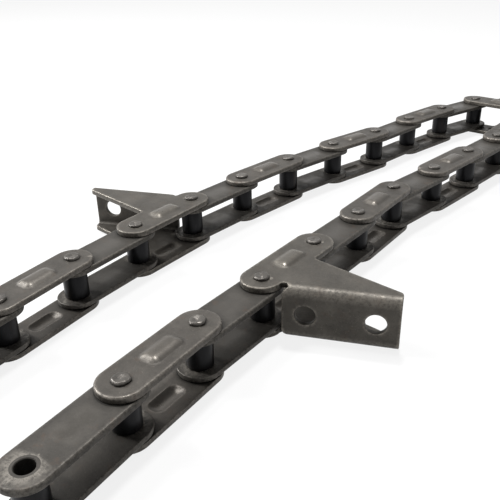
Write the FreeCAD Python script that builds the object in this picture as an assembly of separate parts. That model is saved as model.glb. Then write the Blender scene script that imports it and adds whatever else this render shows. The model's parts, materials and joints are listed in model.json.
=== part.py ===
import FreeCAD, Part
import math
import os

# Double pitch roller chain lying on its side: pins upright, +Z up, lengths in millimetres, angles in degrees.
# The origin is at the bottom centre of the whole lay, on the surface that the lower rivet heads rest on.
# X runs along the two strands, from their free ends towards the turn.

# Link and joint sizes
PITCH = 38.1
PLATE_WIDTH = 17.0
PLATE_THICKNESS = 2.4
INNER_WIDTH = 12.7
SIDE_PLAY = 0.15

# Pins, bushes and rollers
PIN_DIAMETER = 5.94
PIN_CLEARANCE = 0.05
BUSH_DIAMETER = 8.3
ROLLER_DIAMETER = 10.3
ROLLER_CLEARANCE = 0.06
ROLLER_END_PLAY = 0.15
ROLLER_CHAMFER = 0.4

# Riveted pin heads
HEAD_DIAMETER = 6.4
HEAD_HEIGHT = 1.4
HEAD_BEVEL = 0.5

# Pressed boss in the middle of every outer plate, hollow on its inner side
BOSS_LENGTH = 16.5
BOSS_WIDTH = 8.6
BOSS_CORNER = 3.0
BOSS_HEIGHT = 1.3
BOSS_SLOPE = 1.5
BOSS_HOLLOW_INSET = 0.8

# Paddle bracket: a trapezoid web on each outer plate, joined by an upright flange with two holes
WEB_START = -7.2
WEB_TIP_LAND = 6.3
WEB_TIP_FILLET = 2.0
FLANGE_FOOT_ALONG = 20.1
FLANGE_FOOT_OUT = 13.3
FLANGE_HEADING = 111.5
FLANGE_TAIL = 3.0
FLANGE_REACH = 42.0
FLANGE_CORNER = 4.0
BEND_RADIUS = 1.6
RELIEF_RADIUS = 2.0
RELIEF_ALONG = 19.0
RELIEF_GAP = 1.9
FLANGE_HOLE_DIAMETER = 8.2
FLANGE_HOLE_SPACING = 26.8

# Lay of the chain: heading of each link from X, from the far strand's free end, round the turn, to the near one's.
# Odd links are inner links, even ones are outer links.
HEADINGS = [
    8.5, 8.5, 5.3, 2.8, -1.3, -3.9, -8.6, -10.7, -5.5, -8.7, -14.2, -91.6,
    -170.0, -177.8, -183.8, -184.4, -185.6, -176.6, -178.1, -177.0, -177.1, -173.9, -172.5,
]
FIRST_BRACKET = 4
BRACKET_SPACING = 8

# Heights above the chain's middle plane, from the same sizes
INNER_LOW = INNER_WIDTH / 2
INNER_HIGH = INNER_LOW + PLATE_THICKNESS
OUTER_LOW = INNER_HIGH + SIDE_PLAY
OUTER_HIGH = OUTER_LOW + PLATE_THICKNESS
HEAD_TOP = OUTER_HIGH + HEAD_HEIGHT
PLATE_RADIUS = PLATE_WIDTH / 2
PIN_RADIUS = PIN_DIAMETER / 2
BUSH_BORE_RADIUS = PIN_RADIUS + PIN_CLEARANCE
BUSH_RADIUS = BUSH_DIAMETER / 2
ROLLER_BORE_RADIUS = BUSH_RADIUS + ROLLER_CLEARANCE
PIN_PLACES = (-PITCH / 2, PITCH / 2)
CUT_MARGIN = 1.0


def vector(x, y, z=0.0):
    return FreeCAD.Vector(x, y, z)


def cylinder(radius, low, high, x=0.0, y=0.0):
    return Part.makeCylinder(radius, high - low, vector(x, y, low))


def mirrored(shape):
    """The same shape on the other side of the chain's middle plane."""
    return shape.mirror(vector(0, 0, 0), vector(0, 0, 1))


def rounded_wire(corners):
    """A closed wire through (x, y, radius) corners, each rounded by its own radius, or left sharp at 0."""
    edges = []
    joins = []
    count = len(corners)
    for index, (x, y, radius) in enumerate(corners):
        here = vector(x, y)
        before = vector(*corners[index - 1][:2]) - here
        after = vector(*corners[(index + 1) % count][:2]) - here
        if radius == 0:
            joins.append((here, here, here))
            continue
        before.normalize()
        after.normalize()
        half_angle = before.getAngle(after) / 2
        setback = radius / math.tan(half_angle)
        bisector = before + after
        bisector.normalize()
        centre = here + bisector * (radius / math.sin(half_angle))
        joins.append((here + before * setback, centre - bisector * radius, here + after * setback))
    for index, (start, middle, end) in enumerate(joins):
        if not start.isEqual(end, 1e-6):
            edges.append(Part.Arc(start, middle, end).toShape())
        following = joins[(index + 1) % count][0]
        if not end.isEqual(following, 1e-6):
            edges.append(Part.LineSegment(end, following).toShape())
    return Part.Wire(edges)


def plate_wire():
    """The outline of every plate: straight sides and round ends about the two pins."""
    first, last = PIN_PLACES
    radius = PLATE_RADIUS
    return Part.Wire([
        Part.Arc(vector(first, radius), vector(first - radius, 0), vector(first, -radius)).toShape(),
        Part.LineSegment(vector(first, -radius), vector(last, -radius)).toShape(),
        Part.Arc(vector(last, -radius), vector(last + radius, 0), vector(last, radius)).toShape(),
        Part.LineSegment(vector(last, radius), vector(first, radius)).toShape(),
    ])


def slab(wire, low, high):
    """A wire in the middle plane filled and raised from low to high."""
    face = Part.Face(wire)
    face.translate(vector(0, 0, low))
    return face.extrude(vector(0, 0, high - low))


def drilled(shape, radius, low, high):
    """The shape with a hole at each of the link's two pins."""
    for x in PIN_PLACES:
        shape = shape.cut(cylinder(radius, low - CUT_MARGIN, high + CUT_MARGIN, x))
    return shape


def oblong_loft(length, width, corner, low, height):
    """A low four-sided crown with rounded corners, its sides sloping in by BOSS_SLOPE over its height."""
    wires = []
    for inset, z in ((0.0, low), (BOSS_SLOPE, low + height)):
        x = length / 2 - inset
        y = width / 2 - inset
        radius = max(corner - inset, corner / 2)
        wire = rounded_wire([(-x, -y, radius), (x, -y, radius), (x, y, radius), (-x, y, radius)])
        wire.translate(vector(0, 0, z))
        wires.append(wire)
    return Part.makeLoft(wires, True, True)


def bossed(plate):
    """The plate with its pressed boss: raised on the outer face, hollow by the same height on the inner face."""
    boss = oblong_loft(BOSS_LENGTH, BOSS_WIDTH, BOSS_CORNER, OUTER_HIGH, BOSS_HEIGHT)
    hollow_length = BOSS_LENGTH - 2 * BOSS_HOLLOW_INSET
    hollow_width = BOSS_WIDTH - 2 * BOSS_HOLLOW_INSET
    hollow = oblong_loft(hollow_length, hollow_width, BOSS_CORNER, OUTER_LOW, BOSS_HEIGHT)
    return plate.fuse(boss).cut(hollow).removeSplitter()


def inner_plate():
    """Flat plate pressed on the two bushes."""
    plate = slab(plate_wire(), INNER_LOW, INNER_HIGH)
    return drilled(plate, BUSH_RADIUS, INNER_LOW, INNER_HIGH)


def outer_plate():
    """Bossed plate pressed on the two pins."""
    plate = bossed(slab(plate_wire(), OUTER_LOW, OUTER_HIGH))
    return drilled(plate, PIN_RADIUS, OUTER_LOW, OUTER_HIGH)


def turned(profile):
    """A solid of revolution about the upright axis from the (radius, height) corners of its half section."""
    points = [vector(radius, 0, height) for radius, height in profile + profile[:1]]
    return Part.Face(Part.makePolygon(points)).revolve(vector(0, 0, 0), vector(0, 0, 1), 360)


def bush():
    """Plain sleeve, flush with the outer faces of the inner plates."""
    return cylinder(BUSH_RADIUS, -INNER_HIGH, INNER_HIGH).cut(
        cylinder(BUSH_BORE_RADIUS, -INNER_HIGH - CUT_MARGIN, INNER_HIGH + CUT_MARGIN)
    )


def roller():
    """Roller with chamfered rims, free to turn on its bush."""
    top = INNER_LOW - ROLLER_END_PLAY
    radius = ROLLER_DIAMETER / 2
    rim = radius - ROLLER_CHAMFER
    shoulder = top - ROLLER_CHAMFER
    bore = ROLLER_BORE_RADIUS
    return turned([(bore, -top), (rim, -top), (radius, -shoulder), (radius, shoulder), (rim, top), (bore, top)])


def rivet_pin():
    """Pin with both ends spread into low round heads with a bevelled rim."""
    head = HEAD_DIAMETER / 2
    flat = head - HEAD_BEVEL
    shoulder = HEAD_TOP - HEAD_BEVEL
    profile = [
        (0, -HEAD_TOP), (flat, -HEAD_TOP), (head, -shoulder), (head, -OUTER_HIGH), (PIN_RADIUS, -OUTER_HIGH),
        (PIN_RADIUS, OUTER_HIGH), (head, OUTER_HIGH), (head, shoulder), (flat, HEAD_TOP), (0, HEAD_TOP),
    ]
    return turned(profile)


def flange_point(along, behind):
    """A point given by its way along the flange and behind its front face, in the link's own frame."""
    turn = math.radians(FLANGE_HEADING)
    x = FLANGE_FOOT_ALONG + along * math.cos(turn) - behind * math.sin(turn)
    y = FLANGE_FOOT_OUT + along * math.sin(turn) + behind * math.cos(turn)
    return x, y


def on_flange(shape):
    """Moves a shape made with x along the flange and y behind its front face to its place in the link's frame."""
    shape.rotate(vector(0, 0, 0), vector(0, 0, 1), FLANGE_HEADING)
    shape.translate(vector(FLANGE_FOOT_ALONG, FLANGE_FOOT_OUT))
    return shape


def bracket_plate():
    """The upper flat of the bracket: a bossed plate that widens outwards into the web, up to the bend."""
    bend = BEND_RADIUS + PLATE_THICKNESS
    web_end = flange_point(-FLANGE_TAIL, bend)
    web = rounded_wire([
        (WEB_START, 0, 0),
        (web_end[0], 0, 0),
        (*web_end, 0),
        (*flange_point(FLANGE_REACH, bend), 0),
        (*flange_point(FLANGE_REACH, WEB_TIP_LAND), WEB_TIP_FILLET),
    ])
    return bossed(slab(plate_wire(), OUTER_LOW, OUTER_HIGH).fuse(slab(web, OUTER_LOW, OUTER_HIGH)))


def bent_flange():
    """The upright flange with both bends, cut to its rounded tail and drilled."""
    bend = BEND_RADIUS + PLATE_THICKNESS
    length = FLANGE_REACH + FLANGE_TAIL
    depth = bend + CUT_MARGIN
    block = Part.makeBox(length, depth, 2 * OUTER_HIGH, vector(-FLANGE_TAIL, 0, -OUTER_HIGH))
    hollow_start = vector(-FLANGE_TAIL - CUT_MARGIN, PLATE_THICKNESS, -OUTER_LOW)
    hollow = Part.makeBox(length + 2 * CUT_MARGIN, depth, 2 * OUTER_LOW, hollow_start)
    channel = rounded_along(block, bend, 0, OUTER_HIGH).cut(
        rounded_along(hollow, BEND_RADIUS, PLATE_THICKNESS, OUTER_LOW)
    )
    side = rounded_wire([
        (-FLANGE_TAIL, -OUTER_HIGH, FLANGE_CORNER),
        (FLANGE_REACH, -OUTER_HIGH, 0),
        (FLANGE_REACH, OUTER_HIGH, 0),
        (-FLANGE_TAIL, OUTER_HIGH, FLANGE_CORNER),
    ])
    mask = slab(side, -bend - CUT_MARGIN, CUT_MARGIN)
    mask.rotate(vector(0, 0, 0), vector(1, 0, 0), 90)
    flange = channel.common(mask)
    middle = (FLANGE_REACH - FLANGE_TAIL) / 2
    for side_of_middle in (-1, 1):
        start = vector(middle + side_of_middle * FLANGE_HOLE_SPACING / 2, -CUT_MARGIN, 0)
        through = PLATE_THICKNESS + 2 * CUT_MARGIN
        flange = flange.cut(Part.makeCylinder(FLANGE_HOLE_DIAMETER / 2, through, start, vector(0, 1, 0)))
    return on_flange(flange)


def rounded_along(block, radius, front, height):
    """The block with its two long edges at the front rounded: those at y = front and z = height, above and below."""
    edges = [
        edge
        for edge in block.Edges
        if abs(edge.CenterOfMass.y - front) < 1e-6 and abs(abs(edge.CenterOfMass.z) - height) < 1e-6
    ]
    return block.makeFillet(radius, edges)


def paddle_bracket():
    """Both outer plates of one link in one pressing: plate, web, bend, flange, and the same mirrored below."""
    upper = bracket_plate()
    bracket = upper.fuse(mirrored(upper)).fuse(bent_flange())
    relief_low = OUTER_LOW - BEND_RADIUS - CUT_MARGIN
    relief_out = PLATE_RADIUS + RELIEF_GAP
    relief = cylinder(RELIEF_RADIUS, relief_low, OUTER_HIGH + CUT_MARGIN, RELIEF_ALONG, relief_out)
    bracket = bracket.cut(relief).cut(mirrored(relief)).removeSplitter()
    return drilled(bracket, PIN_RADIUS, -OUTER_HIGH, OUTER_HIGH)


def link_places():
    """Each link's middle and heading, with the first link's first pin at (0, 0)."""
    places = []
    x = y = 0.0
    for heading in HEADINGS:
        turn = math.radians(heading)
        step_x = PITCH * math.cos(turn)
        step_y = PITCH * math.sin(turn)
        places.append((x + step_x / 2, y + step_y / 2, heading))
        x += step_x
        y += step_y
    return places


def placed(shape, place, along=0.0):
    """A copy of a shape from the link's own frame, moved along the link and then to the link's place."""
    x, y, heading = place
    copy = shape.copy()
    copy.translate(vector(along, 0))
    copy.rotate(vector(0, 0, 0), vector(0, 0, 1), heading)
    copy.translate(vector(x, y))
    return copy


def is_bracket_link(number):
    return number >= FIRST_BRACKET and (number - FIRST_BRACKET) % BRACKET_SPACING == 0


def build_nodes():
    """Every node by name, as the list of its separate solids, before the lay is moved to its origin."""
    inner = inner_plate()
    outer = outer_plate()
    sleeve = bush()
    pin = rivet_pin()
    wheel = roller()
    bracket = paddle_bracket()
    nodes = {}
    for number, place in enumerate(link_places(), start=1):
        if number % 2:
            plates = [inner, mirrored(inner)]
            pieces = [placed(shape, place) for shape in plates]
            pieces += [placed(sleeve, place, along) for along in PIN_PLACES]
            nodes[f"inner_link_{number:02d}"] = pieces
            for end, along in zip("ab", PIN_PLACES):
                nodes[f"roller_{number:02d}_{end}"] = [placed(wheel, place, along)]
        elif is_bracket_link(number):
            nodes[f"paddle_bracket_{number:02d}"] = [placed(bracket, place)]
            nodes[f"pins_{number:02d}"] = [placed(pin, place, along) for along in PIN_PLACES]
        else:
            nodes[f"outer_plates_{number:02d}"] = [placed(shape, place) for shape in (outer, mirrored(outer))]
            nodes[f"pins_{number:02d}"] = [placed(pin, place, along) for along in PIN_PLACES]
    return nodes


def origin_of(nodes):
    """The bottom centre of everything: the point that becomes the origin."""
    box = Part.makeCompound([solid for solids in nodes.values() for solid in solids]).BoundBox
    return vector(box.Center.x, box.Center.y, box.ZMin)


def main():
    os.makedirs("parts", exist_ok=True)
    nodes = build_nodes()
    origin = origin_of(nodes)
    for name, solids in nodes.items():
        shape = Part.makeCompound(solids) if len(solids) > 1 else solids[0]
        shape.translate(origin * -1)
        shape.exportStep(f"parts/{name}.step")


if __name__ == "__main__":
    main()
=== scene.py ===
import json
import math

import bmesh
import bpy
from mathutils import Matrix, Vector
from mathutils.geometry import delaunay_2d_cdt


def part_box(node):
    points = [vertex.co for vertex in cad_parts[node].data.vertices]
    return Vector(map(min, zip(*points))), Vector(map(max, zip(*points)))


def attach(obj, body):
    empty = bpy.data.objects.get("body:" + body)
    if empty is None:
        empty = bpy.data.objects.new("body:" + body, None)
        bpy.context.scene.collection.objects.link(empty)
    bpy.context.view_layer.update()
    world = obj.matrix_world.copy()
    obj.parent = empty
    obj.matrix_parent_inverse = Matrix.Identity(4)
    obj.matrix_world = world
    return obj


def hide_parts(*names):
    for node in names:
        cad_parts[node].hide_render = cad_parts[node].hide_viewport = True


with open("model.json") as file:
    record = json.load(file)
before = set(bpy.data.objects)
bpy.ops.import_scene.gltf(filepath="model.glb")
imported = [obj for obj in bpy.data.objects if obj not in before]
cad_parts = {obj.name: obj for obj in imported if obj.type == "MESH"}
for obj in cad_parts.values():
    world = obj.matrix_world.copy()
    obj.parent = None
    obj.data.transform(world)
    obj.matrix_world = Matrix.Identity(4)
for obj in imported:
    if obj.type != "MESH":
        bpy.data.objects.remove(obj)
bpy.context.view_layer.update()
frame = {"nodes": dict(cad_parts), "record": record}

bl_info = {
    "name": "Double Pitch Roller Chain",
    "version": (1, 0, 0),
    "blender": (4, 5, 0),
    "location": "View3D > Sidebar > Chain",
    "description": "Dresses a length of double pitch roller chain with paddle brackets in worn steel",
    "category": "Object",
}

# What the frame gives: its box, bodies, pin places and heights. Metres, with +Z along the pins.
MM = 0.001
BODY_OF = {
    node: body
    for body, nodes in frame["record"]["behaviour"]["bodies"].items()
    for node in nodes
}


def nodes_named(prefix):
    """The frame's nodes whose names start with a word, in order."""
    return sorted(name for name in frame["nodes"] if name.startswith(prefix))


def link_number(node):
    """The number of the link that a node belongs to, from its name."""
    return int(next(part for part in node.split("_") if part.isdigit()))


def centre_of(node):
    low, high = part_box(node)
    return (low + high) / 2


def size_of(node):
    low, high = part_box(node)
    return high - low


# Rollers sit two to an inner link, so their centres are all the pin places in order
PINS = [centre_of(name) for name in nodes_named("roller_")]
PITCH = (PINS[1] - PINS[0]).length
ROLLER_SIZE = size_of("roller_01_a")
INNER_HIGH = size_of("inner_link_01").z / 2
HEAD_TOP = size_of(nodes_named("pins_")[0]).z / 2


def pins_of(number):
    """The first and last pin place of a link."""
    return PINS[number - 1], PINS[number]


def setting(name, default, description, **options):
    """A number that a user may change."""
    return bpy.props.FloatProperty(name=name, description=description, default=default, **options)


def length_setting(name, millimetres, description):
    """A length, its default given in millimetres."""
    return setting(name, millimetres * MM, description, unit="LENGTH", precision=5)


def point_setting(name, millimetres, description):
    """A flat point in the link's own frame, its default given in millimetres."""
    return bpy.props.FloatVectorProperty(
        name=name, description=description, default=[value * MM for value in millimetres],
        unit="LENGTH", size=2)


def colour_setting(name, colour, description):
    """A colour, given as red, green and blue."""
    return bpy.props.FloatVectorProperty(
        name=name, description=description, default=colour, subtype="COLOR", size=3, min=0, max=1)


class ChainSizes(bpy.types.PropertyGroup):
    """Sizes of the finished pieces that the frame's boxes don't give."""

    plate_width: length_setting("Plate Width", 17.0, "Width of every plate, twice its end radius")
    plate_thickness: length_setting("Plate Thickness", 2.4, "Sheet thickness of plates and brackets")
    side_play: length_setting("Side Play", 0.15, "Gap between an inner plate and the outer plate over it")
    edge_roll: length_setting("Edge Roll", 0.85, "Radius that the punch draws on a plate's outer edge")
    edge_break: length_setting("Edge Break", 0.3, "Radius left by tumbling on a plate's inner edge")
    bracket_roll: length_setting("Bracket Roll", 0.7, "Depth of the round on a bracket's upper edge")
    boss_length: length_setting("Boss Length", 16.5, "Length of the pressed boss at its foot")
    boss_width: length_setting("Boss Width", 8.6, "Width of the pressed boss at its foot")
    boss_corner: length_setting("Boss Corner", 3.0, "Corner radius of the boss seen from above")
    boss_height: length_setting("Boss Height", 1.38, "Height of the boss over the plate")
    boss_slope: length_setting("Boss Slope", 3.6, "How far the boss's sides run in as they rise")
    boss_inset: length_setting("Boss Inset", 0.8, "How much smaller the hollow behind is on each side")
    column_spacing: length_setting("Column Spacing", 0.5, "Distance between mesh columns round a plate")
    pin_diameter: length_setting("Pin Diameter", 5.94, "Diameter of the pin's shank")
    head_diameter: length_setting("Head Diameter", 6.4, "Diameter of the spread pin end")
    head_rounding: length_setting("Head Rounding", 0.85, "Radius round the rim of the pin's head")
    head_dish: length_setting("Head Dish", 0.3, "Depth of the rivet tool's mark in the head")
    head_unevenness: length_setting("Head Unevenness", 0.8, "How far riveting pushes the surface about")
    bush_diameter: length_setting("Bush Diameter", 8.3, "Outside diameter of the bushes")
    bush_bore: length_setting("Bush Bore", 6.04, "Diameter of the bore that the pins turn in")
    roller_bore: length_setting("Roller Bore", 8.42, "Diameter of the bore that turns on the bush")
    roller_rounding: length_setting("Roller Rounding", 0.5, "Radius round both rims of a roller")
    bend_radius: length_setting("Bend Radius", 1.6, "Radius inside the bends of a paddle bracket")
    flange_heading: setting(
        "Flange Heading", math.radians(111.5), "Angle from the link's line to the flange", unit="ROTATION")
    flange_foot: point_setting("Flange Foot", (20.1, 13.3), "Where the flange's front face starts")
    flange_tail: length_setting("Flange Tail", 3.0, "How far the flange runs on before its foot")
    flange_reach: length_setting("Flange Reach", 42.0, "Length of the flange beyond its foot")
    flange_corner: length_setting("Flange Corner", 4.0, "Radius of the corners beside the relief notch")
    flange_hole: length_setting("Flange Hole", 8.2, "Diameter of the two holes in the flange")
    flange_hole_spacing: length_setting("Flange Hole Spacing", 26.8, "Distance between the two holes")
    web_start: length_setting("Web Start", -7.2, "Where the web's sloping edge would cross the link's line")
    web_tip_land: length_setting("Web Tip Land", 6.3, "Depth of the web behind the flange's far end")
    relief_radius: length_setting("Relief Radius", 2.0, "Radius of the notch between plate and bend")
    relief_place: point_setting("Relief Place", (19.0, 10.4), "Centre of the notch")
    sheet_spacing: length_setting("Sheet Spacing", 0.7, "Distance between mesh points on a bracket")


class ChainFinish(bpy.types.PropertyGroup):
    """Colours of the steels, as they look under plain light."""

    plate_colour: colour_setting("Plate Steel", (0.053, 0.048, 0.042), "Mean colour of the outer plates")
    bracket_colour: colour_setting("Bracket Steel", (0.056, 0.051, 0.044), "Mean colour of the brackets")
    inner_colour: colour_setting("Inner Steel", (0.036, 0.033, 0.029), "Mean colour of the inner links")
    roller_colour: colour_setting("Roller Steel", (0.01, 0.01, 0.011), "Mean colour of the black rollers")
    pin_colour: colour_setting("Pin Steel", (0.075, 0.069, 0.062), "Mean colour of the rivet pins")
    rust_colour: colour_setting("Rust Tint", (0.07, 0.04, 0.024), "Brown film in worn and sheltered places")


class ChainStage(bpy.types.PropertyGroup):
    """Camera, lamps and floor."""

    camera_place: bpy.props.FloatVectorProperty(
        name="Camera Place", description="Where the camera stands",
        default=(-0.2932, -0.1809, 0.1510), subtype="TRANSLATION", unit="LENGTH", size=3)
    camera_heading: setting(
        "Camera Heading", math.radians(40.0), "Where the camera looks, from X towards Y", unit="ROTATION")
    camera_tilt: setting(
        "Camera Tilt", math.radians(26.95), "How far the camera looks down", unit="ROTATION")
    camera_roll: setting("Camera Roll", -0.02038, "Roll about the line of sight", unit="ROTATION")
    lens: setting("Lens", 48.34, "Focal length in millimetres on a 36 mm sensor", min=1)
    key_power: setting("Key Power", 9.0, "Power of the large soft lamp behind the chain", unit="POWER")
    top_power: setting("Top Power", 8.0, "Power of the overhead lamp that draws the bends", unit="POWER")
    glint_power: setting("Glint Power", 8.0, "Power of the small lamp that draws the rims", unit="POWER")
    world_strength: setting("Sky Strength", 0.25, "Level of the even light from all round")
    floor_colour: colour_setting("Floor", (0.8, 0.8, 0.8), "Colour of the pale floor")


# Helpers for objects and node trees
CREASE_ANGLE = math.radians(34)


def new_object(name, data):
    """An object in the scene that holds a mesh, curve, lamp or camera."""
    holder = bpy.data.objects.new(name, data)
    bpy.context.scene.collection.objects.link(holder)
    return holder


def new_tree(name, inputs):
    """A Geometry Nodes tree with one geometry output, and named inputs listed under their kinds."""
    tree = bpy.data.node_groups.new(name, "GeometryNodeTree")
    tree.interface.new_socket("Geometry", in_out="OUTPUT", socket_type="NodeSocketGeometry")
    for kind, labels in inputs.items():
        for label in labels:
            tree.interface.new_socket(label, in_out="INPUT", socket_type=f"NodeSocket{kind}")
    return tree, tree.nodes.new("NodeGroupInput").outputs


def add(tree, kind, inputs=None, **settings):
    """A node with its settings, and its inputs linked or set by name or number."""
    node = tree.nodes.new(kind)
    for key, value in settings.items():
        setattr(node, key, value)
    for key, value in (inputs or {}).items():
        if isinstance(value, bpy.types.NodeSocket):
            tree.links.new(value, node.inputs[key])
        else:
            node.inputs[key].default_value = value
    return node


def made(tree, kind, inputs=None, **settings):
    """The first output of a new node."""
    return add(tree, kind, inputs, **settings).outputs[0]


def maths(tree, operation, first, second=0.0):
    return made(tree, "ShaderNodeMath", {0: first, 1: second}, operation=operation)


def times(tree, first, second):
    return maths(tree, "MULTIPLY", first, second)


def minus(tree, first, second):
    return maths(tree, "SUBTRACT", first, second)


def finish_tree(tree, geometry, material):
    """Ends a tree: instances made real, material set, result to the output."""
    real = made(tree, "GeometryNodeRealizeInstances", {"Geometry": geometry})
    dressed = made(tree, "GeometryNodeSetMaterial", {"Geometry": real, "Material": material})
    tree.links.new(dressed, tree.nodes.new("NodeGroupOutput").inputs[0])


def smooth_with_creases(tree, mesh):
    """Smooth shading, with the sharpest edges left as creases."""
    smooth = made(tree, "GeometryNodeSetShadeSmooth", {"Geometry": mesh, "Shade Smooth": True})
    angle = made(tree, "GeometryNodeInputMeshEdgeAngle")
    sharp = made(tree, "FunctionNodeCompare", {0: angle, 1: CREASE_ANGLE},
                 data_type="FLOAT", operation="GREATER_THAN")
    return made(tree, "GeometryNodeSetShadeSmooth",
                {"Geometry": smooth, "Selection": sharp, "Shade Smooth": False}, domain="EDGE")


def outline_object(name, points):
    """A short-lived curve through (sideways, height) points, negated to suit the sweep that reads it."""
    curve = bpy.data.curves.new(name, "CURVE")
    curve.dimensions = "3D"
    spline = curve.splines.new("POLY")
    spline.points.add(len(points) - 1)
    for point, (sideways, height) in zip(spline.points, points):
        point.co = (-sideways, -height, 0.0, 1.0)
    return new_object(name, curve)


def grow(name, tree, values):
    """Runs a tree, its inputs set by socket identifier, and keeps the result as a plain mesh object."""
    piece = new_object(name, bpy.data.meshes.new(name))
    modifier = piece.modifiers.new("Build", "NODES")
    modifier.node_group = tree
    for item in tree.interface.items_tree:
        if item.in_out == "INPUT":
            modifier[item.identifier] = values[item.name]
    bpy.context.view_layer.update()
    depsgraph = bpy.context.evaluated_depsgraph_get()
    mesh = bpy.data.meshes.new_from_object(piece.evaluated_get(depsgraph), depsgraph=depsgraph)
    piece.modifiers.remove(modifier)
    piece.data = mesh
    mesh.name = name
    if not mesh.polygons:
        raise RuntimeError(f"{name} came out empty")
    return piece


def settle(piece, node):
    """The piece stands for a CAD node, which is hidden, and moves with its body."""
    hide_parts(node)
    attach(piece, BODY_OF[node])


# Steel finishes, with noise scales in repeats per metre
BLOTCH_SCALE = 95.0
FILM_SCALE = 160.0
GLOSS_SCALE = 240.0
GRAIN_SCALE = 900.0
PIT_SCALE = 1500.0
FLECK_SCALE = 2100.0
STREAK_STRETCH = (1.0, 1.0, 0.12)
RUBBED_AND_SHEEN_BRIGHTNESS = 2.0
FLECK_BRIGHTNESS = 3.0
RIM_WEAR_AND_HIGHLIGHT_BRIGHTNESS = 4.5
SPECULAR_LEVEL = 0.22
# How far the painted shade in corners and between parts reaches
PAINTED_SHADE_REACH = 5 * MM
PIT_DEPTH = 0.12 * MM


def blotches(tree, coordinates, scale, detail=5.0, roughness=0.6):
    return made(tree, "ShaderNodeTexNoise",
                {"Vector": coordinates, "Scale": scale, "Detail": detail, "Roughness": roughness})


def ramp(tree, factor, stops):
    """A colour ramp through (position, colour) stops."""
    node = add(tree, "ShaderNodeValToRGB", {0: factor})
    elements = node.color_ramp.elements
    while len(elements) < len(stops):
        elements.new(0.5)
    for element, (position, colour) in zip(elements, stops):
        element.position = position
        element.color = (*colour, 1.0)
    return node.outputs[0]


def shade(colour, factor):
    return tuple(min(1.0, channel * factor) for channel in colour)


def grey(level):
    return (level, level, level)


def mixed(tree, factor, first, second, blend="MIX"):
    """A blend of two colours, each a socket or a tuple."""
    node = add(tree, "ShaderNodeMix", data_type="RGBA", blend_type=blend)
    for socket, value in ((node.inputs[0], factor), (node.inputs[6], first), (node.inputs[7], second)):
        if isinstance(value, bpy.types.NodeSocket):
            tree.links.new(value, socket)
        elif isinstance(value, tuple):
            socket.default_value = (*value, 1.0)
        else:
            socket.default_value = value
    return node.outputs[2]


def rim_wear_and_highlight(tree, grain):
    """How far the steel's raised edges are lightened, partly for worn bare steel and partly as a painted
    highlight, broken up by the grain.
    """
    rims = add(tree, "ShaderNodeNewGeometry").outputs["Pointiness"]
    wear_and_highlight = ramp(tree, rims, [(0.506, grey(0.0)), (0.555, grey(1.0))])
    return mixed(tree, 1.0, wear_and_highlight, ramp(tree, grain, [(0.36, grey(0.15)), (0.6, grey(1.0))]), "MULTIPLY")


def steel_tone(tree, place, wide, grain, rubbed, wear_and_highlight, colour, rust, rust_reach):
    """The steel's colour: blotches, grain, brown film, bosses lightened for rubbing and painted sheen,
    painted shade in corners, rims lightened for wear and painted highlight, flecks.
    """
    tone = ramp(tree, wide, [(0.3, shade(colour, 0.72)), (0.52, colour), (0.74, shade(colour, 1.3))])
    tone = mixed(tree, 0.55, tone, ramp(tree, grain, [(0.3, grey(0.62)), (0.5, grey(1.0))]), "MULTIPLY")
    film = blotches(tree, place, FILM_SCALE, detail=8.0, roughness=0.75)
    tone = mixed(tree, ramp(tree, film, [(0.56, grey(0.0)), (0.78, grey(rust_reach))]), tone, rust)
    # Raised boss lightened towards twice the steel's colour: partly real rubbing, partly a painted sheen
    tone = mixed(tree, times(tree, rubbed, 0.55), tone, shade(colour, RUBBED_AND_SHEEN_BRIGHTNESS))
    # Painted shade: ambient occlusion darkens the steel to a fifth in corners, recesses and between parts
    open_air = add(tree, "ShaderNodeAmbientOcclusion", {"Distance": PAINTED_SHADE_REACH}, samples=8).outputs["AO"]
    tone = mixed(tree, 1.0, tone, ramp(tree, open_air, [(0.35, grey(0.2)), (0.9, grey(1.0))]), "MULTIPLY")
    # Rims lightened to 4.5 times the steel's colour: partly real wear, partly a painted highlight
    tone = mixed(tree, wear_and_highlight, tone, shade(colour, RIM_WEAR_AND_HIGHLIGHT_BRIGHTNESS))
    flecks = blotches(tree, place, FLECK_SCALE, detail=2.0)
    flecks = ramp(tree, flecks, [(0.64, grey(0.0)), (0.76, grey(0.5))])
    return mixed(tree, flecks, tone, shade(colour, FLECK_BRIGHTNESS))


def steel_gloss(tree, place, polish, wear_and_highlight, rubbed):
    """The steel's roughness: uneven, and lower where it is worn or rubbed."""
    gloss = made(tree, "ShaderNodeMapRange", {
        "Value": blotches(tree, place, GLOSS_SCALE, detail=6.0), "From Min": 0.3, "From Max": 0.7,
        "To Min": polish - 0.1, "To Max": polish + 0.14})
    for smoothed, share in ((wear_and_highlight, 0.45), (rubbed, 0.4)):
        gloss = times(tree, gloss, minus(tree, 1.0, times(tree, smoothed, share)))
    return gloss


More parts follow.
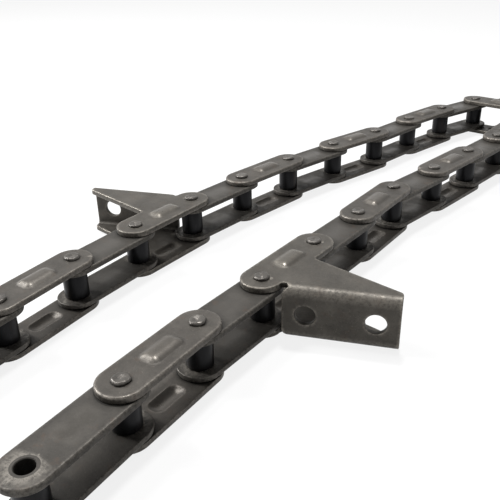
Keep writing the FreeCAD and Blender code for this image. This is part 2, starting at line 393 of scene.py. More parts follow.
def worn_steel(name, colour, rust, rust_reach=0.5, metal=0.5, streaks=False, polish=0.5, pitting=0.35):
    """Mill-worn steel, with a tone, a gloss and fine pits that all vary from place to place."""
    material = bpy.data.materials.new(name)
    material.use_nodes = True
    tree = material.node_tree
    place = add(tree, "ShaderNodeTexCoord").outputs["Object"]
    if streaks:
        place = made(tree, "ShaderNodeMapping", {"Vector": place, "Scale": STREAK_STRETCH})
    wide = blotches(tree, place, BLOTCH_SCALE)
    grain = blotches(tree, place, GRAIN_SCALE, detail=4.0, roughness=0.7)
    rubbed = add(tree, "ShaderNodeAttribute", attribute_name="rubbed").outputs["Fac"]
    wear_and_highlight = rim_wear_and_highlight(tree, grain)
    pits = maths(tree, "ADD", blotches(tree, place, PIT_SCALE, detail=3.0), times(tree, wide, 1.5))
    bumps = made(tree, "ShaderNodeBump", {"Height": pits, "Strength": pitting, "Distance": PIT_DEPTH})
    shader = tree.nodes["Principled BSDF"].inputs
    tone = steel_tone(tree, place, wide, grain, rubbed, wear_and_highlight, colour, rust, rust_reach)
    tree.links.new(tone, shader["Base Color"])
    tree.links.new(steel_gloss(tree, place, polish, wear_and_highlight, rubbed), shader["Roughness"])
    tree.links.new(bumps, shader["Normal"])
    shader["Metallic"].default_value = metal
    shader["Specular IOR Level"].default_value = SPECULAR_LEVEL
    return material


# Each steel's colour and where it departs from the usual finish
STEELS = {
    "outer plate steel": ("plate_colour", {}),
    "bracket steel": ("bracket_colour", {"rust_reach": 0.3}),
    "inner link steel": ("inner_colour", {"polish": 0.56}),
    "pin steel": ("pin_colour", {"rust_reach": 0.3, "polish": 0.34, "pitting": 0.6}),
    "roller steel": ("roller_colour", {
        "rust_reach": 0.25, "metal": 0.6, "streaks": True, "polish": 0.38, "pitting": 0.2}),
}


def steel(name):
    """One of the steels, made when it is first asked for."""
    finish = bpy.context.scene.chain_finish
    colour, settings = STEELS[name]
    return bpy.data.materials.get(name) or worn_steel(
        name, tuple(getattr(finish, colour)), tuple(finish.rust_colour), **settings)


# Plates. A band is how far out from its middle line a plate has rows of mesh points
BOSSED_BAND = 5.0 * MM
FLAT_BAND = 2.0 * MM
EDGE_SUPPORT = 2.2
PLATE_WELD = 0.02 * MM
DRILL_DEPTH = 40 * MM
JUST_UNDER_HALF = 0.49999


def plate_section(sizes, under, band):
    """Half section of a plate from its middle line underneath, round its edge, to its middle line on top."""
    half = sizes.plate_width / 2
    top = under + sizes.plate_thickness
    roll = sizes.edge_roll
    brk = sizes.edge_break
    rows = max(1, round(band / sizes.column_spacing))
    support = EDGE_SUPPORT * brk
    section = [(half - band * row / rows, under) for row in range(rows + 1)]
    section.append((brk + support, under))
    section += edge_round(brk, under, brk, lower=True)
    section += edge_round(roll, top, roll, lower=False)
    section.append((roll + support, top))
    section += [(half - band * (1 - row / rows), top) for row in range(rows + 1)]
    return section


def edge_round(inward, level, radius, lower, steps=5):
    """Points round an edge, from the face to the side (lower) or from the side to the face (upper)."""
    points = []
    for step in range(steps + 1):
        angle = math.pi / 2 * step / steps
        if lower:
            points.append((inward - radius * math.sin(angle), level + radius - radius * math.cos(angle)))
        else:
            points.append((inward - radius * math.cos(angle), level - radius + radius * math.sin(angle)))
    return points


def boss_share(tree, given):
    """How far up the boss each point of the upper plate is, from 0 at its foot to 1 on its top."""
    place = add(tree, "ShaderNodeSeparateXYZ", {0: made(tree, "GeometryNodeInputPosition")}).outputs
    inset = times(tree, maths(tree, "LESS_THAN", place[2], given["Plate Middle"]), given["Boss Inset"])
    reach = []
    for axis, size in ((0, "Boss Length"), (1, "Boss Width")):
        half = minus(tree, times(tree, given[size], 0.5), given["Boss Corner"])
        reach.append(minus(tree, maths(tree, "ABSOLUTE", place[axis]), minus(tree, half, inset)))
    outside = [maths(tree, "POWER", maths(tree, "MAXIMUM", value, 0.0), 2.0) for value in reach]
    outside = maths(tree, "SQRT", maths(tree, "ADD", *outside))
    inside = maths(tree, "MINIMUM", maths(tree, "MAXIMUM", *reach), 0.0)
    distance = minus(tree, maths(tree, "ADD", outside, inside), given["Boss Corner"])
    share = made(tree, "ShaderNodeMapRange", {
        "Value": times(tree, distance, -1.0), "From Min": 0.0, "From Max": given["Boss Slope"],
        "To Min": 0.0, "To Max": 1.0})
    return times(tree, share, minus(tree, 2.0, share))


def pin_hole_drills(tree, given):
    """Two upright cylinders, one at each pin place of a link."""
    drill = made(tree, "GeometryNodeMeshCylinder", {
        "Vertices": 48, "Radius": times(tree, given["Hole Diameter"], 0.5), "Depth": DRILL_DEPTH},
        fill_type="NGON")
    half_pitch = times(tree, given["Pitch"], 0.5)
    start = made(tree, "ShaderNodeCombineXYZ", {0: times(tree, half_pitch, -1.0)})
    end = made(tree, "ShaderNodeCombineXYZ", {0: half_pitch})
    centres = made(tree, "GeometryNodeMeshLine", {"Count": 2, "Start Location": start, "Offset": end},
                   mode="END_POINTS", count_mode="TOTAL")
    drills = made(tree, "GeometryNodeInstanceOnPoints", {"Points": centres, "Instance": drill})
    return made(tree, "GeometryNodeRealizeInstances", {"Geometry": drills})


def plate_tree():
    """Two like plates of one link: swept edge, pressed boss, pin holes, upper one and its mirror image."""
    tree, given = new_tree("Chain Plates", {
        "Object": ["Section"], "Vector": ["Place"], "Material": ["Material"],
        "Float": ["Pitch", "Plate Width", "Column Spacing", "Plate Middle", "Boss Length", "Boss Width",
                  "Boss Corner", "Boss Height", "Boss Slope", "Boss Inset", "Hole Diameter", "Heading"],
    })
    width = given["Plate Width"]
    outline = made(tree, "GeometryNodeCurvePrimitiveQuadrilateral",
                   {"Width": maths(tree, "ADD", given["Pitch"], width), "Height": width})
    round_end = times(tree, width, JUST_UNDER_HALF)
    outline = made(tree, "GeometryNodeFilletCurve", {"Curve": outline, "Count": 24, "Radius": round_end},
                   mode="POLY")
    outline = made(tree, "GeometryNodeResampleCurve", {"Curve": outline, "Length": given["Column Spacing"]},
                   mode="LENGTH")
    section = add(tree, "GeometryNodeObjectInfo", {"Object": given["Section"]}).outputs["Geometry"]
    skin = made(tree, "GeometryNodeCurveToMesh", {"Curve": outline, "Profile Curve": section})
    skin = made(tree, "GeometryNodeMergeByDistance", {"Geometry": skin, "Distance": PLATE_WELD})
    share = boss_share(tree, given)
    # The boss share is kept as the mask for the boss's rubbing and painted sheen
    skin = made(tree, "GeometryNodeStoreNamedAttribute", {"Geometry": skin, "Name": "rubbed", "Value": share},
                data_type="FLOAT", domain="POINT")
    lift = made(tree, "ShaderNodeCombineXYZ", {2: times(tree, share, given["Boss Height"])})
    skin = made(tree, "GeometryNodeSetPosition", {"Geometry": skin, "Offset": lift})
    plate = made(tree, "GeometryNodeMeshBoolean", {"Mesh 1": skin, "Mesh 2": pin_hole_drills(tree, given)},
                 operation="DIFFERENCE", solver="EXACT")
    mirror = made(tree, "GeometryNodeTransform", {"Geometry": plate, "Scale": (1.0, 1.0, -1.0)})
    mirror = made(tree, "GeometryNodeFlipFaces", {"Mesh": mirror})
    pair = add(tree, "GeometryNodeJoinGeometry")
    tree.links.new(plate, pair.inputs[0])
    tree.links.new(mirror, pair.inputs[0])
    turn = made(tree, "ShaderNodeCombineXYZ", {2: given["Heading"]})
    pair = made(tree, "GeometryNodeTransform",
                {"Geometry": pair.outputs[0], "Translation": given["Place"], "Rotation": turn})
    finish_tree(tree, smooth_with_creases(tree, pair), given["Material"])
    return tree


def link_place(number):
    """The middle of a link and its heading."""
    first, last = pins_of(number)
    along = last - first
    return (first + last) / 2, math.atan2(along.y, along.x)


def grow_plates(name, tree, section, number, hole, under, bossed, material):
    """Both plates of one link as one piece."""
    sizes = bpy.context.scene.chain_sizes
    place, heading = link_place(number)
    return grow(name, tree, {
        "Section": section, "Pitch": PITCH, "Plate Width": sizes.plate_width,
        "Column Spacing": sizes.column_spacing if bossed else 2 * sizes.column_spacing,
        "Plate Middle": under + sizes.plate_thickness / 2,
        "Boss Length": sizes.boss_length, "Boss Width": sizes.boss_width, "Boss Corner": sizes.boss_corner,
        "Boss Height": sizes.boss_height if bossed else 0.0, "Boss Slope": sizes.boss_slope,
        "Boss Inset": sizes.boss_inset, "Hole Diameter": hole,
        "Place": place, "Heading": heading, "Material": material,
    })


class CHAIN_OT_outer_plates(bpy.types.Operator):
    """Make the pairs of bossed outer plates"""

    bl_idname = "chain.outer_plates"
    bl_label = "Outer Plates"

    def execute(self, context):
        sizes = context.scene.chain_sizes
        under = INNER_HIGH + sizes.side_play
        section = outline_object("outer plate section", plate_section(sizes, under, BOSSED_BAND))
        tree = plate_tree()
        for node in nodes_named("outer_plates_"):
            piece = grow_plates(f"{node}_pressed", tree, section, link_number(node), sizes.pin_diameter,
                                under, True, steel("outer plate steel"))
            settle(piece, node)
        bpy.data.objects.remove(section)
        return {"FINISHED"}


# Turned pieces: each section is swept round its axis on a small circle of radius AXIS_OFFSET
AXIS_OFFSET = 1.0 * MM
RIM_STEPS = 5
HEAD_FLARE = 0.05 * MM
DISH_SHARE = 0.55
BUSH_CHAMFER = 0.25 * MM
ROLLER_CHAMFER = 0.15 * MM
UNEVEN_SCALE = 330.0
TURNED_WELD = 0.005 * MM


def turned_tree():
    """Pieces turned about upright axes: one section swept round a circle and set on a row of pin places."""
    tree, given = new_tree("Turned Pieces", {
        "Object": ["Section"], "Int": ["Segments", "Count", "Seed"], "Float": ["Axis Offset", "Unevenness"],
        "Vector": ["First Place", "Last Place"], "Material": ["Material"],
    })
    ring = made(tree, "GeometryNodeCurvePrimitiveCircle",
                {"Resolution": given["Segments"], "Radius": given["Axis Offset"]})
    section = add(tree, "GeometryNodeObjectInfo", {"Object": given["Section"]}).outputs["Geometry"]
    solid = made(tree, "GeometryNodeCurveToMesh", {"Curve": ring, "Profile Curve": section})
    solid = made(tree, "GeometryNodeMergeByDistance", {"Geometry": solid, "Distance": TURNED_WELD})
    places = made(tree, "GeometryNodeMeshLine", {
        "Count": given["Count"], "Start Location": given["First Place"], "Offset": given["Last Place"]},
        mode="END_POINTS", count_mode="TOTAL")
    turn = made(tree, "FunctionNodeRandomValue", {
        "Min": (0.0, 0.0, 0.0), "Max": (0.0, 0.0, math.tau), "Seed": given["Seed"]},
        data_type="FLOAT_VECTOR")
    row = made(tree, "GeometryNodeInstanceOnPoints", {"Points": places, "Instance": solid, "Rotation": turn})
    row = made(tree, "GeometryNodeRealizeInstances", {"Geometry": row})
    uneven = add(tree, "ShaderNodeTexNoise", {"Scale": UNEVEN_SCALE, "Detail": 1.0}).outputs[1]
    uneven = made(tree, "ShaderNodeVectorMath", {0: uneven, 1: (0.5, 0.5, 0.5)}, operation="SUBTRACT")
    push = made(tree, "ShaderNodeVectorMath", {0: uneven, "Scale": given["Unevenness"]}, operation="SCALE")
    row = made(tree, "GeometryNodeSetPosition", {"Geometry": row, "Offset": push})
    finish_tree(tree, smooth_with_creases(tree, row), given["Material"])
    return tree


def grow_turned(name, tree, section, first, last, material, segments=48, uneven=0.0, seed=1):
    """The turned pieces of one body, as one piece."""
    return grow(name, tree, {
        "Section": section, "Axis Offset": AXIS_OFFSET, "Segments": segments,
        "Count": 1 if first == last else 2, "First Place": first, "Last Place": last, "Seed": seed,
        "Unevenness": uneven, "Material": material,
    })


def from_axis(points):
    """(radius, height) points as the (sideways, height) that a sweep round the small circle needs."""
    return [(AXIS_OFFSET - radius, height) for radius, height in points]


def rounded_rim(radius, top, rounding):
    """Points round the upper rim of a turned piece, from its side to its top."""
    points = []
    for step in range(RIM_STEPS + 1):
        angle = math.pi / 2 * step / RIM_STEPS
        points.append((radius - rounding + rounding * math.cos(angle),
                       top - rounding + rounding * math.sin(angle)))
    return points


def underside(points):
    """The mirror image of (radius, height) points, in the other order."""
    return [(radius, -height) for radius, height in reversed(points)]


def pin_section(sizes):
    """Half section of a rivet pin, from the middle of its lower head to the middle of its upper one."""
    head = sizes.head_diameter / 2
    under_head = INNER_HIGH + sizes.side_play + sizes.plate_thickness
    # The uneven surface stands about a quarter of its setting above the crown
    crown = HEAD_TOP - sizes.head_unevenness / 4
    dish = head * DISH_SHARE
    upper = [(sizes.pin_diameter / 2, under_head), (head, under_head + HEAD_FLARE)]
    upper += rounded_rim(head, crown, sizes.head_rounding)
    for step in range(1, RIM_STEPS + 1):
        share = step / RIM_STEPS
        upper.append((dish * (1 - share), crown - sizes.head_dish * math.sin(share * math.pi / 2)))
    return underside(upper) + upper


def bush_section(sizes):
    """Section of a bush, closed on itself through its bore."""
    outer = sizes.bush_diameter / 2
    bore = sizes.bush_bore / 2
    upper = [(outer, INNER_HIGH), (bore + BUSH_CHAMFER, INNER_HIGH), (bore, INNER_HIGH - BUSH_CHAMFER)]
    lower = underside(upper)
    return lower[1:] + upper + lower[:2]


def roller_section(sizes):
    """Section of a roller with rounded rims, closed on itself through its bore."""
    top = ROLLER_SIZE.z / 2
    bore = sizes.roller_bore / 2
    upper = rounded_rim(ROLLER_SIZE.x / 2, top, sizes.roller_rounding)
    upper += [(bore + ROLLER_CHAMFER, top), (bore, top - ROLLER_CHAMFER)]
    lower = underside(upper)
    return lower + upper + lower[:1]


class CHAIN_OT_rivet_pins(bpy.types.Operator):
    """Make the rivet pins with their peened heads"""

    bl_idname = "chain.rivet_pins"
    bl_label = "Rivet Pins"

    def execute(self, context):
        sizes = context.scene.chain_sizes
        section = outline_object("pin section", from_axis(pin_section(sizes)))
        tree = turned_tree()
        for node in nodes_named("pins_"):
            number = link_number(node)
            first, last = pins_of(number)
            piece = grow_turned(f"{node}_riveted", tree, section, first, last, steel("pin steel"),
                                uneven=sizes.head_unevenness, seed=number)
            settle(piece, node)
        bpy.data.objects.remove(section)
        return {"FINISHED"}


class CHAIN_OT_rollers(bpy.types.Operator):
    """Make the rollers, one to a bush"""

    bl_idname = "chain.rollers"
    bl_label = "Rollers"

    def execute(self, context):
        section = outline_object("roller section", from_axis(roller_section(context.scene.chain_sizes)))
        tree = turned_tree()
        for node in nodes_named("roller_"):
            place = centre_of(node)
            piece = grow_turned(f"{node}_turned", tree, section, place, place, steel("roller steel"),
                                segments=64, seed=link_number(node))
            settle(piece, node)
        bpy.data.objects.remove(section)
        return {"FINISHED"}


class CHAIN_OT_inner_links(bpy.types.Operator):
    """Make the inner links, each two flat plates pressed on two bushes"""

    bl_idname = "chain.inner_links"
    bl_label = "Inner Links"

    def execute(self, context):
        sizes = context.scene.chain_sizes
        under = INNER_HIGH - sizes.plate_thickness
        plate = outline_object("inner plate section", plate_section(sizes, under, FLAT_BAND))
        bush = outline_object("bush section", from_axis(bush_section(sizes)))
        plates = plate_tree()
        bushes = turned_tree()
        for node in nodes_named("inner_link_"):
            number = link_number(node)
            first, last = pins_of(number)
            material = steel("inner link steel")
            flat = grow_plates(f"{node}_plates", plates, plate, number, sizes.bush_diameter, under,
                               False, material)
            sleeves = grow_turned(f"{node}_bushes", bushes, bush, first, last, material)
            settle(flat, node)
            settle(sleeves, node)
        bpy.data.objects.remove(plate)
        bpy.data.objects.remove(bush)
        return {"FINISHED"}


# Paddle brackets: a flat blank with its edges rounded, folded over both bends
TINY = 1e-7
ON_LINE = 1e-6
BESIDE_FOLD = 0.05 * MM
BRACKET_WELD = 0.01 * MM
WEB_FOOT_SHARE = 0.8
CLEAR_SHARE = 0.55
BEND_STEPS = 10
UPPER_ANGLES = (0.0, 0.4, 0.8, 1.2, math.pi / 2)
LOWER_ANGLES = (0.0, 0.5, 1.05, math.pi / 2)


def turned_by(angle, point):
    """A flat point turned about the origin."""
    return Matrix.Rotation(angle, 2) @ Vector(point)


class Blank:
    """The upper half of a bracket, laid out flat: across is along the flange, back is away from its front."""

    def __init__(self, sizes):
        self.sizes = sizes
        self.thick = sizes.plate_thickness
        self.top = INNER_HIGH + sizes.side_play + self.thick
        self.bend = sizes.bend_radius + self.thick
        self.arc = self.bend * math.pi / 2
        self.end = self.bend - self.arc - (self.top - self.bend)

    def to_blank(self, point):
        return turned_by(-self.sizes.flange_heading, Vector(point) - Vector(self.sizes.flange_foot))

    def to_link(self, point):
        return turned_by(self.sizes.flange_heading, point) + Vector(self.sizes.flange_foot)

    def on_end(self, point):
        """Whether a point lies on the line where the two halves of the flange meet."""
        return abs(point.y - self.end) < ON_LINE

    def folded(self, point, depth):
        """The place in the link's frame of a blank point at a depth below the outer face."""
        across, back = point
        # Beyond the flange's tail the sheet is the plate's end, which stays flat
        beside = across < -self.sizes.flange_tail - BESIDE_FOLD
        if beside or back >= self.bend:
            x, y = self.to_link(point)
            rise = boss_rise(self.sizes, x, y, depth > 0.5 * self.thick)
            return Vector((x, y, self.top - depth + rise))
        past = self.bend - back
        if past < self.arc:
            turn = past / self.bend
            radius = self.bend - depth
            behind = self.bend - radius * math.sin(turn)
            height = self.top - self.bend + radius * math.cos(turn)
        else:
            behind = depth
            height = self.top - self.bend - (past - self.arc)
        x, y = self.to_link((across, behind))
        return Vector((x, y, height))


def boss_rise(sizes, x, y, hollow):
    """How far the pressed boss lifts the sheet at a place in the link's frame."""
    inset = sizes.boss_inset if hollow else 0.0
    along = abs(x) - (sizes.boss_length / 2 - sizes.boss_corner - inset)
    aside = abs(y) - (sizes.boss_width / 2 - sizes.boss_corner - inset)
    outside = math.hypot(max(along, 0.0), max(aside, 0.0))
    depth = sizes.boss_corner - outside - min(max(along, aside), 0.0)
    share = min(max(depth / sizes.boss_slope, 0.0), 1.0)
    return sizes.boss_height * share * (2 - share)


def arc_points(centre, radius, first, last, steps):
    """Points on an arc, both ends included. Angles in degrees."""
    points = []
    for step in range(steps + 1):
        angle = math.radians(first + (last - first) * step / steps)
        points.append(Vector(centre) + radius * Vector((math.cos(angle), math.sin(angle))))
    return points


def filleted(before, corner, after, radius, steps=8):
    """The corner between two straight edges, rounded."""
    one = (Vector(before) - Vector(corner)).normalized()
    two = (Vector(after) - Vector(corner)).normalized()
    half = one.angle(two) / 2
    start = Vector(corner) + one * radius / math.tan(half)
    finish = Vector(corner) + two * radius / math.tan(half)
    centre = Vector(corner) + (one + two).normalized() * radius / math.sin(half)
    points = []
    for step in range(steps + 1):
        spoke = (start - centre).slerp(finish - centre, step / steps)
        points.append(centre + radius * spoke.normalized())
    return points


def blank_outline(blank):
    """The blank's outer loop, counterclockwise, with the halves of the flange holes on its open edge."""
    sizes = blank.sizes
    end_radius = sizes.plate_width / 2
    half_pitch = PITCH / 2
    tip_corner = (sizes.flange_reach, sizes.web_tip_land)
    tip = blank.to_link(tip_corner)
    root = Vector((sizes.web_start, 0.0))
    crossing = root + (tip - root) * (end_radius / (tip.y - root.y))
    link = arc_points((-half_pitch, 0), end_radius, 90, 270, 40)
    link += arc_points((half_pitch, 0), end_radius, -90, 84, 36)
    link += arc_points(sizes.relief_place, sizes.relief_radius, -96, -178, 7)
    loop = [blank.to_blank(point) for point in link]
    # The flange's round corner runs on over the bend, and the notch takes the place of its first steps
    corner_across = sizes.flange_corner - sizes.flange_tail
    for step in range(3, BEND_STEPS + 1):
        lift = blank.bend * math.cos(math.pi / 2 * step / BEND_STEPS)
        across = corner_across - math.sqrt(max(sizes.flange_corner ** 2 - lift ** 2, 0.0))
        loop.append(Vector((across, blank.bend - blank.arc * step / BEND_STEPS)))
    loop.append(Vector((-sizes.flange_tail, blank.end)))
    middle = (sizes.flange_reach - sizes.flange_tail) / 2
    for side in (-1, 1):
        centre = (middle + side * sizes.flange_hole_spacing / 2, blank.end)
        loop += arc_points(centre, sizes.flange_hole / 2, 180, 0, 24)
    end_corner = Vector((sizes.flange_reach, blank.end))
    loop.append(end_corner)
    foot = blank.to_blank(crossing)
    plate_side = blank.to_blank((-half_pitch, end_radius))
    loop += filleted(end_corner, tip_corner, foot, sizes.relief_radius)
    loop += filleted(tip_corner, foot, plate_side, WEB_FOOT_SHARE * sizes.relief_radius)
    return resampled(loop, sizes.sheet_spacing)


def resampled(loop, spacing):
    """A closed loop with points added on its long runs."""
    points = []
    for here, following in zip(loop, loop[1:] + loop[:1]):
        length = (following - here).length
        if length < TINY:
            continue
        pieces = max(1, round(length / spacing))
        points += [here.lerp(following, piece / pieces) for piece in range(pieces)]
    return points


def loop_normals(loop):
    """Outward directions at the points of a counterclockwise loop."""
    normals = []
    for index, here in enumerate(loop):
        before = (here - loop[index - 1]).normalized()
        after = (loop[(index + 1) % len(loop)] - here).normalized()
        way = (before + after).normalized()
        normals.append(Vector((way.y, -way.x)))
    return normals


def blank_rings(blank):
    """Outline and pin holes, each as (points moved in by the edge round, outward directions)."""
    sizes = blank.sizes
    loops = [blank_outline(blank)]
    for side in (-1, 1):
        hole = arc_points((side * PITCH / 2, 0), sizes.pin_diameter / 2, 360, 0, 48)[:-1]
        loops.append([blank.to_blank(point) for point in hole])
    rings = []
    for loop in loops:
        normals = loop_normals(loop)
        for index, (point, normal) in enumerate(zip(loop, normals)):
            if blank.on_end(point):
                # The halves meet here, so a point moves along the line or, away from a corner, not at all
                along = Vector((normal.x, 0.0))
                normals[index] = along.normalized() if abs(normal.x) > 0.3 else Vector((0.0, 0.0))
        moved = [point - normal * sizes.edge_break for point, normal in zip(loop, normals)]
        rings.append((moved, normals))
    return rings


def inside_loop(point, loop):
    """Whether a flat point lies in a closed loop."""
    inside = False
    for here, following in zip(loop, loop[1:] + loop[:1]):
        if (here.y > point.y) != (following.y > point.y):
            if point.x < here.x + (point.y - here.y) * (following.x - here.x) / (following.y - here.y):
                inside = not inside
    return inside


def clear_of(point, rings, gap):
    """Whether a flat point keeps a gap from every ring's points."""
    return all((point - other).length > gap for ring, _ in rings for other in ring)


def grid_steps(values, spacing):
    """The whole steps of a grid that lie between the least and the greatest of some values."""
    return range(int(min(values) / spacing), int(max(values) / spacing) + 1)


def sheet_faces(blank, rings):
    """Points and triangles that fill the blank between its rings."""
    points = [point for ring, _ in rings for point in ring]
    edges = []
    start = 0
    for ring, _ in rings:
        count = len(ring)
        edges += [(start + index, start + (index + 1) % count) for index in range(count)]
        start += count
    spacing = blank.sizes.sheet_spacing
    outer, *holes = [ring for ring, _ in rings]
    for column in grid_steps([point.x for point in outer], spacing):
        for row in grid_steps([point.y for point in outer], spacing):
            point = Vector(((column + 0.5 * (row % 2)) * spacing, row * spacing))
            filled = inside_loop(point, outer) and not any(inside_loop(point, hole) for hole in holes)
            if filled and clear_of(point, rings, CLEAR_SHARE * spacing):
                points.append(point)
    flat, _, faces, *_ = delaunay_2d_cdt(points, edges, [], 1, TINY)
    kept = []
    for face in faces:
        centre = sum((flat[index] for index in face), Vector((0.0, 0.0))) / len(face)
        if not any(inside_loop(centre, hole) for hole in holes):
            kept.append(face)
    return flat, kept


def edge_rows(sizes):
    """(how far out, how deep) for each row of points round a bracket's edge, outer face to inner."""
    rolled = sizes.bracket_roll
    broken = sizes.edge_break
    rows = [(broken * math.sin(angle), rolled * (1 - math.cos(angle))) for angle in UPPER_ANGLES]
    return rows + [(broken * math.cos(angle), sizes.plate_thickness - broken * (1 - math.sin(angle)))
                   for angle in LOWER_ANGLES]


def bracket_form(blank):
    """The whole bracket in the link's frame as a closed mesh: folded sheet, rounded edges, both halves."""
    rings = blank_rings(blank)
    flat, faces = sheet_faces(blank, rings)
    form = bmesh.new()
    for depth in (0.0, blank.thick):
        skin = [form.verts.new(blank.folded(point, depth)) for point in flat]
        for face in faces:
            corners = [skin[index] for index in face]
            form.faces.new(corners if depth == 0.0 else corners[::-1])
    for ring, normals in rings:
        rows = [
            [form.verts.new(blank.folded(point + way * out, depth)) for point, way in zip(ring, normals)]
            for out, depth in edge_rows(blank.sizes)
        ]
        for upper, lower in zip(rows, rows[1:]):
            for index, point in enumerate(ring):
                following = (index + 1) % len(ring)
                if not (blank.on_end(point) and blank.on_end(ring[following])):
                    form.faces.new((upper[index], lower[index], lower[following], upper[following]))
    half = form.verts[:] + form.edges[:] + form.faces[:]
    copy = bmesh.ops.duplicate(form, geom=half)["geom"]
    for item in copy:
        if isinstance(item, bmesh.types.BMVert):
            item.co.z = -item.co.z
    bmesh.ops.reverse_faces(form, faces=[item for item in copy if isinstance(item, bmesh.types.BMFace)])
    bmesh.ops.remove_doubles(form, verts=form.verts, dist=BRACKET_WELD)
    bmesh.ops.recalc_face_normals(form, faces=form.faces)
    mesh = bpy.data.meshes.new("bracket form")
    form.to_mesh(mesh)
    form.free()
    mesh.shade_smooth()
    # The boss share is kept as the mask for the boss's rubbing and painted sheen
    rubbed = mesh.attributes.new("rubbed", "FLOAT", "POINT")
    for corner, value in zip(mesh.vertices, rubbed.data):
        value.value = boss_rise(blank.sizes, corner.co.x, corner.co.y, False) / blank.sizes.boss_height
    return mesh


class CHAIN_OT_paddle_brackets(bpy.types.Operator):
    """Fold the paddle brackets, each one pressing that stands for both outer plates of its link"""

    bl_idname = "chain.paddle_brackets"
    bl_label = "Paddle Brackets"

    def execute(self, context):
        form = bracket_form(Blank(context.scene.chain_sizes))
        for node in nodes_named("paddle_bracket_"):
            mesh = form.copy()
            mesh.name = f"{node}_bent"
            place, heading = link_place(link_number(node))
            mesh.transform(Matrix.Translation(place) @ Matrix.Rotation(heading, 4, "Z"))
            mesh.materials.append(steel("bracket steel"))
            settle(new_object(f"{node}_bent", mesh), node)
        bpy.data.meshes.remove(form)
        return {"FINISHED"}


# Stage
FLOOR_REACH = 6.0
FLOOR_LIFT = 0.84
SENSOR_WIDTH = 36.0
NEAR_CLIP = 0.01
WHITE = (1.0, 1.0, 1.0, 1.0)
# Each lamp's place and diameter in metres, and the setting that holds its power
LAMPS = {
    "key lamp": ((-0.35, 0.55, 0.75), 0.5, "key_power"),
    "top lamp": ((0.1, 0.1, 0.9), 0.12, "top_power"),
    "glint lamp": ((-0.42, 0.72, 0.36), 0.2, "glint_power"),
}


def soft_lamp(name, place, size, power):
    """A round lamp that looks at the middle of the chain."""
    lamp = bpy.data.lights.new(name, "AREA")
    lamp.shape = "DISK"
    lamp.size = size
    lamp.energy = power
    holder = new_object(name, lamp)
    holder.location = place
    holder.rotation_euler = (-Vector(place)).to_track_quat("-Z", "Y").to_euler()


def seen_direct(tree):
    """1 for camera, glossy and transmission rays, 0 for the rest."""
    path = add(tree, "ShaderNodeLightPath").outputs
    seen = maths(tree, "MAXIMUM", path["Is Camera Ray"], path["Is Glossy Ray"])
    return maths(tree, "MAXIMUM", seen, path["Is Transmission Ray"])


def floor_material(stage):
    """Pale matt floor, lifted towards white where it is seen, with the chain's shadow kept."""
    material = bpy.data.materials.new("pale floor")
    material.use_nodes = True
    tree = material.node_tree
    tree.nodes.clear()
    matt = made(tree, "ShaderNodeBsdfDiffuse", {"Color": (*stage.floor_colour, 1.0)})
    white = made(tree, "ShaderNodeEmission", {"Color": WHITE, "Strength": 1.0})
    lift = times(tree, seen_direct(tree), FLOOR_LIFT)
    both = made(tree, "ShaderNodeMixShader", {0: lift, 1: matt, 2: white})
    add(tree, "ShaderNodeOutputMaterial", {"Surface": both})
    return material


def plain_sky(stage):
    """Even light from all round, white where it is seen."""
    world = bpy.data.worlds.new("sky")
    world.use_nodes = True
    tree = world.node_tree
    tree.nodes.clear()
    plain = made(tree, "ShaderNodeBackground", {"Color": WHITE, "Strength": stage.world_strength})
    white = made(tree, "ShaderNodeBackground", {"Color": WHITE, "Strength": 1.0})
    sky = made(tree, "ShaderNodeMixShader", {0: seen_direct(tree), 1: plain, 2: white})
    add(tree, "ShaderNodeOutputWorld", {"Surface": sky})
    return world


def camera_as_in_photo(stage):
    """The camera object, placed and turned as the stage's settings say."""
    lens = bpy.data.cameras.new("camera")
    lens.lens = stage.lens
    lens.sensor_width = SENSOR_WIDTH
    lens.clip_start = NEAR_CLIP
    camera = new_object("camera", lens)
    camera.location = stage.camera_place
    turn = (
        Matrix.Rotation(stage.camera_heading - math.pi / 2, 3, "Z")
        @ Matrix.Rotation(math.pi / 2 - stage.camera_tilt, 3, "X")
        @ Matrix.Rotation(stage.camera_roll, 3, "Z")
    )
    camera.rotation_euler = turn.to_euler()
    return camera


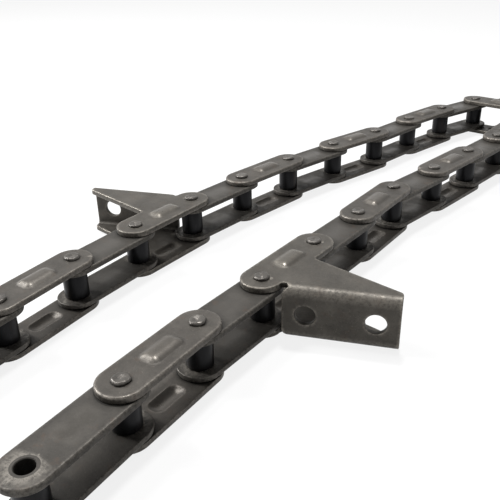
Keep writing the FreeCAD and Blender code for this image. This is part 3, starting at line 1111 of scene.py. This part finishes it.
class CHAIN_OT_stage(bpy.types.Operator):
    """Set up the floor, lamps, sky and camera"""

    bl_idname = "chain.stage"
    bl_label = "Stage"

    def execute(self, context):
        stage = context.scene.chain_stage
        mesh = bpy.data.meshes.new("floor")
        corners = [(x * FLOOR_REACH, y * FLOOR_REACH, 0) for x, y in ((-1, -1), (1, -1), (1, 1), (-1, 1))]
        mesh.from_pydata(corners, [], [(0, 1, 2, 3)])
        mesh.materials.append(floor_material(stage))
        new_object("floor", mesh)
        for name, (place, size, power) in LAMPS.items():
            soft_lamp(name, place, size, getattr(stage, power))
        context.scene.world = plain_sky(stage)
        context.scene.camera = camera_as_in_photo(stage)
        context.scene.view_settings.view_transform = "Standard"
        return {"FINISHED"}


class CHAIN_PT_panel(bpy.types.Panel):
    """Everything that dresses the chain, in working order"""

    bl_label = "Roller Chain"
    bl_idname = "CHAIN_PT_panel"
    bl_space_type = "VIEW_3D"
    bl_region_type = "UI"
    bl_category = "Chain"

    def draw(self, context):
        layout = self.layout
        for operator in OPERATORS:
            layout.operator(operator.bl_idname)
        for group in (context.scene.chain_sizes, context.scene.chain_finish, context.scene.chain_stage):
            box = layout.box()
            for key in group.__annotations__:
                box.prop(group, key)


OPERATORS = (
    CHAIN_OT_outer_plates,
    CHAIN_OT_paddle_brackets,
    CHAIN_OT_inner_links,
    CHAIN_OT_rollers,
    CHAIN_OT_rivet_pins,
    CHAIN_OT_stage,
)
GROUPS = {"chain_sizes": ChainSizes, "chain_finish": ChainFinish, "chain_stage": ChainStage}
CLASSES = (*GROUPS.values(), *OPERATORS, CHAIN_PT_panel)


def register():
    for item in CLASSES:
        bpy.utils.register_class(item)
    for key, group in GROUPS.items():
        setattr(bpy.types.Scene, key, bpy.props.PointerProperty(type=group))


def unregister():
    for key in GROUPS:
        delattr(bpy.types.Scene, key)
    for item in reversed(CLASSES):
        bpy.utils.unregister_class(item)


def main():
    register()
    bpy.ops.chain.outer_plates()
    bpy.ops.chain.paddle_brackets()
    bpy.ops.chain.inner_links()
    bpy.ops.chain.rollers()
    bpy.ops.chain.rivet_pins()
    bpy.ops.chain.stage()


if __name__ == "__main__":
    main()
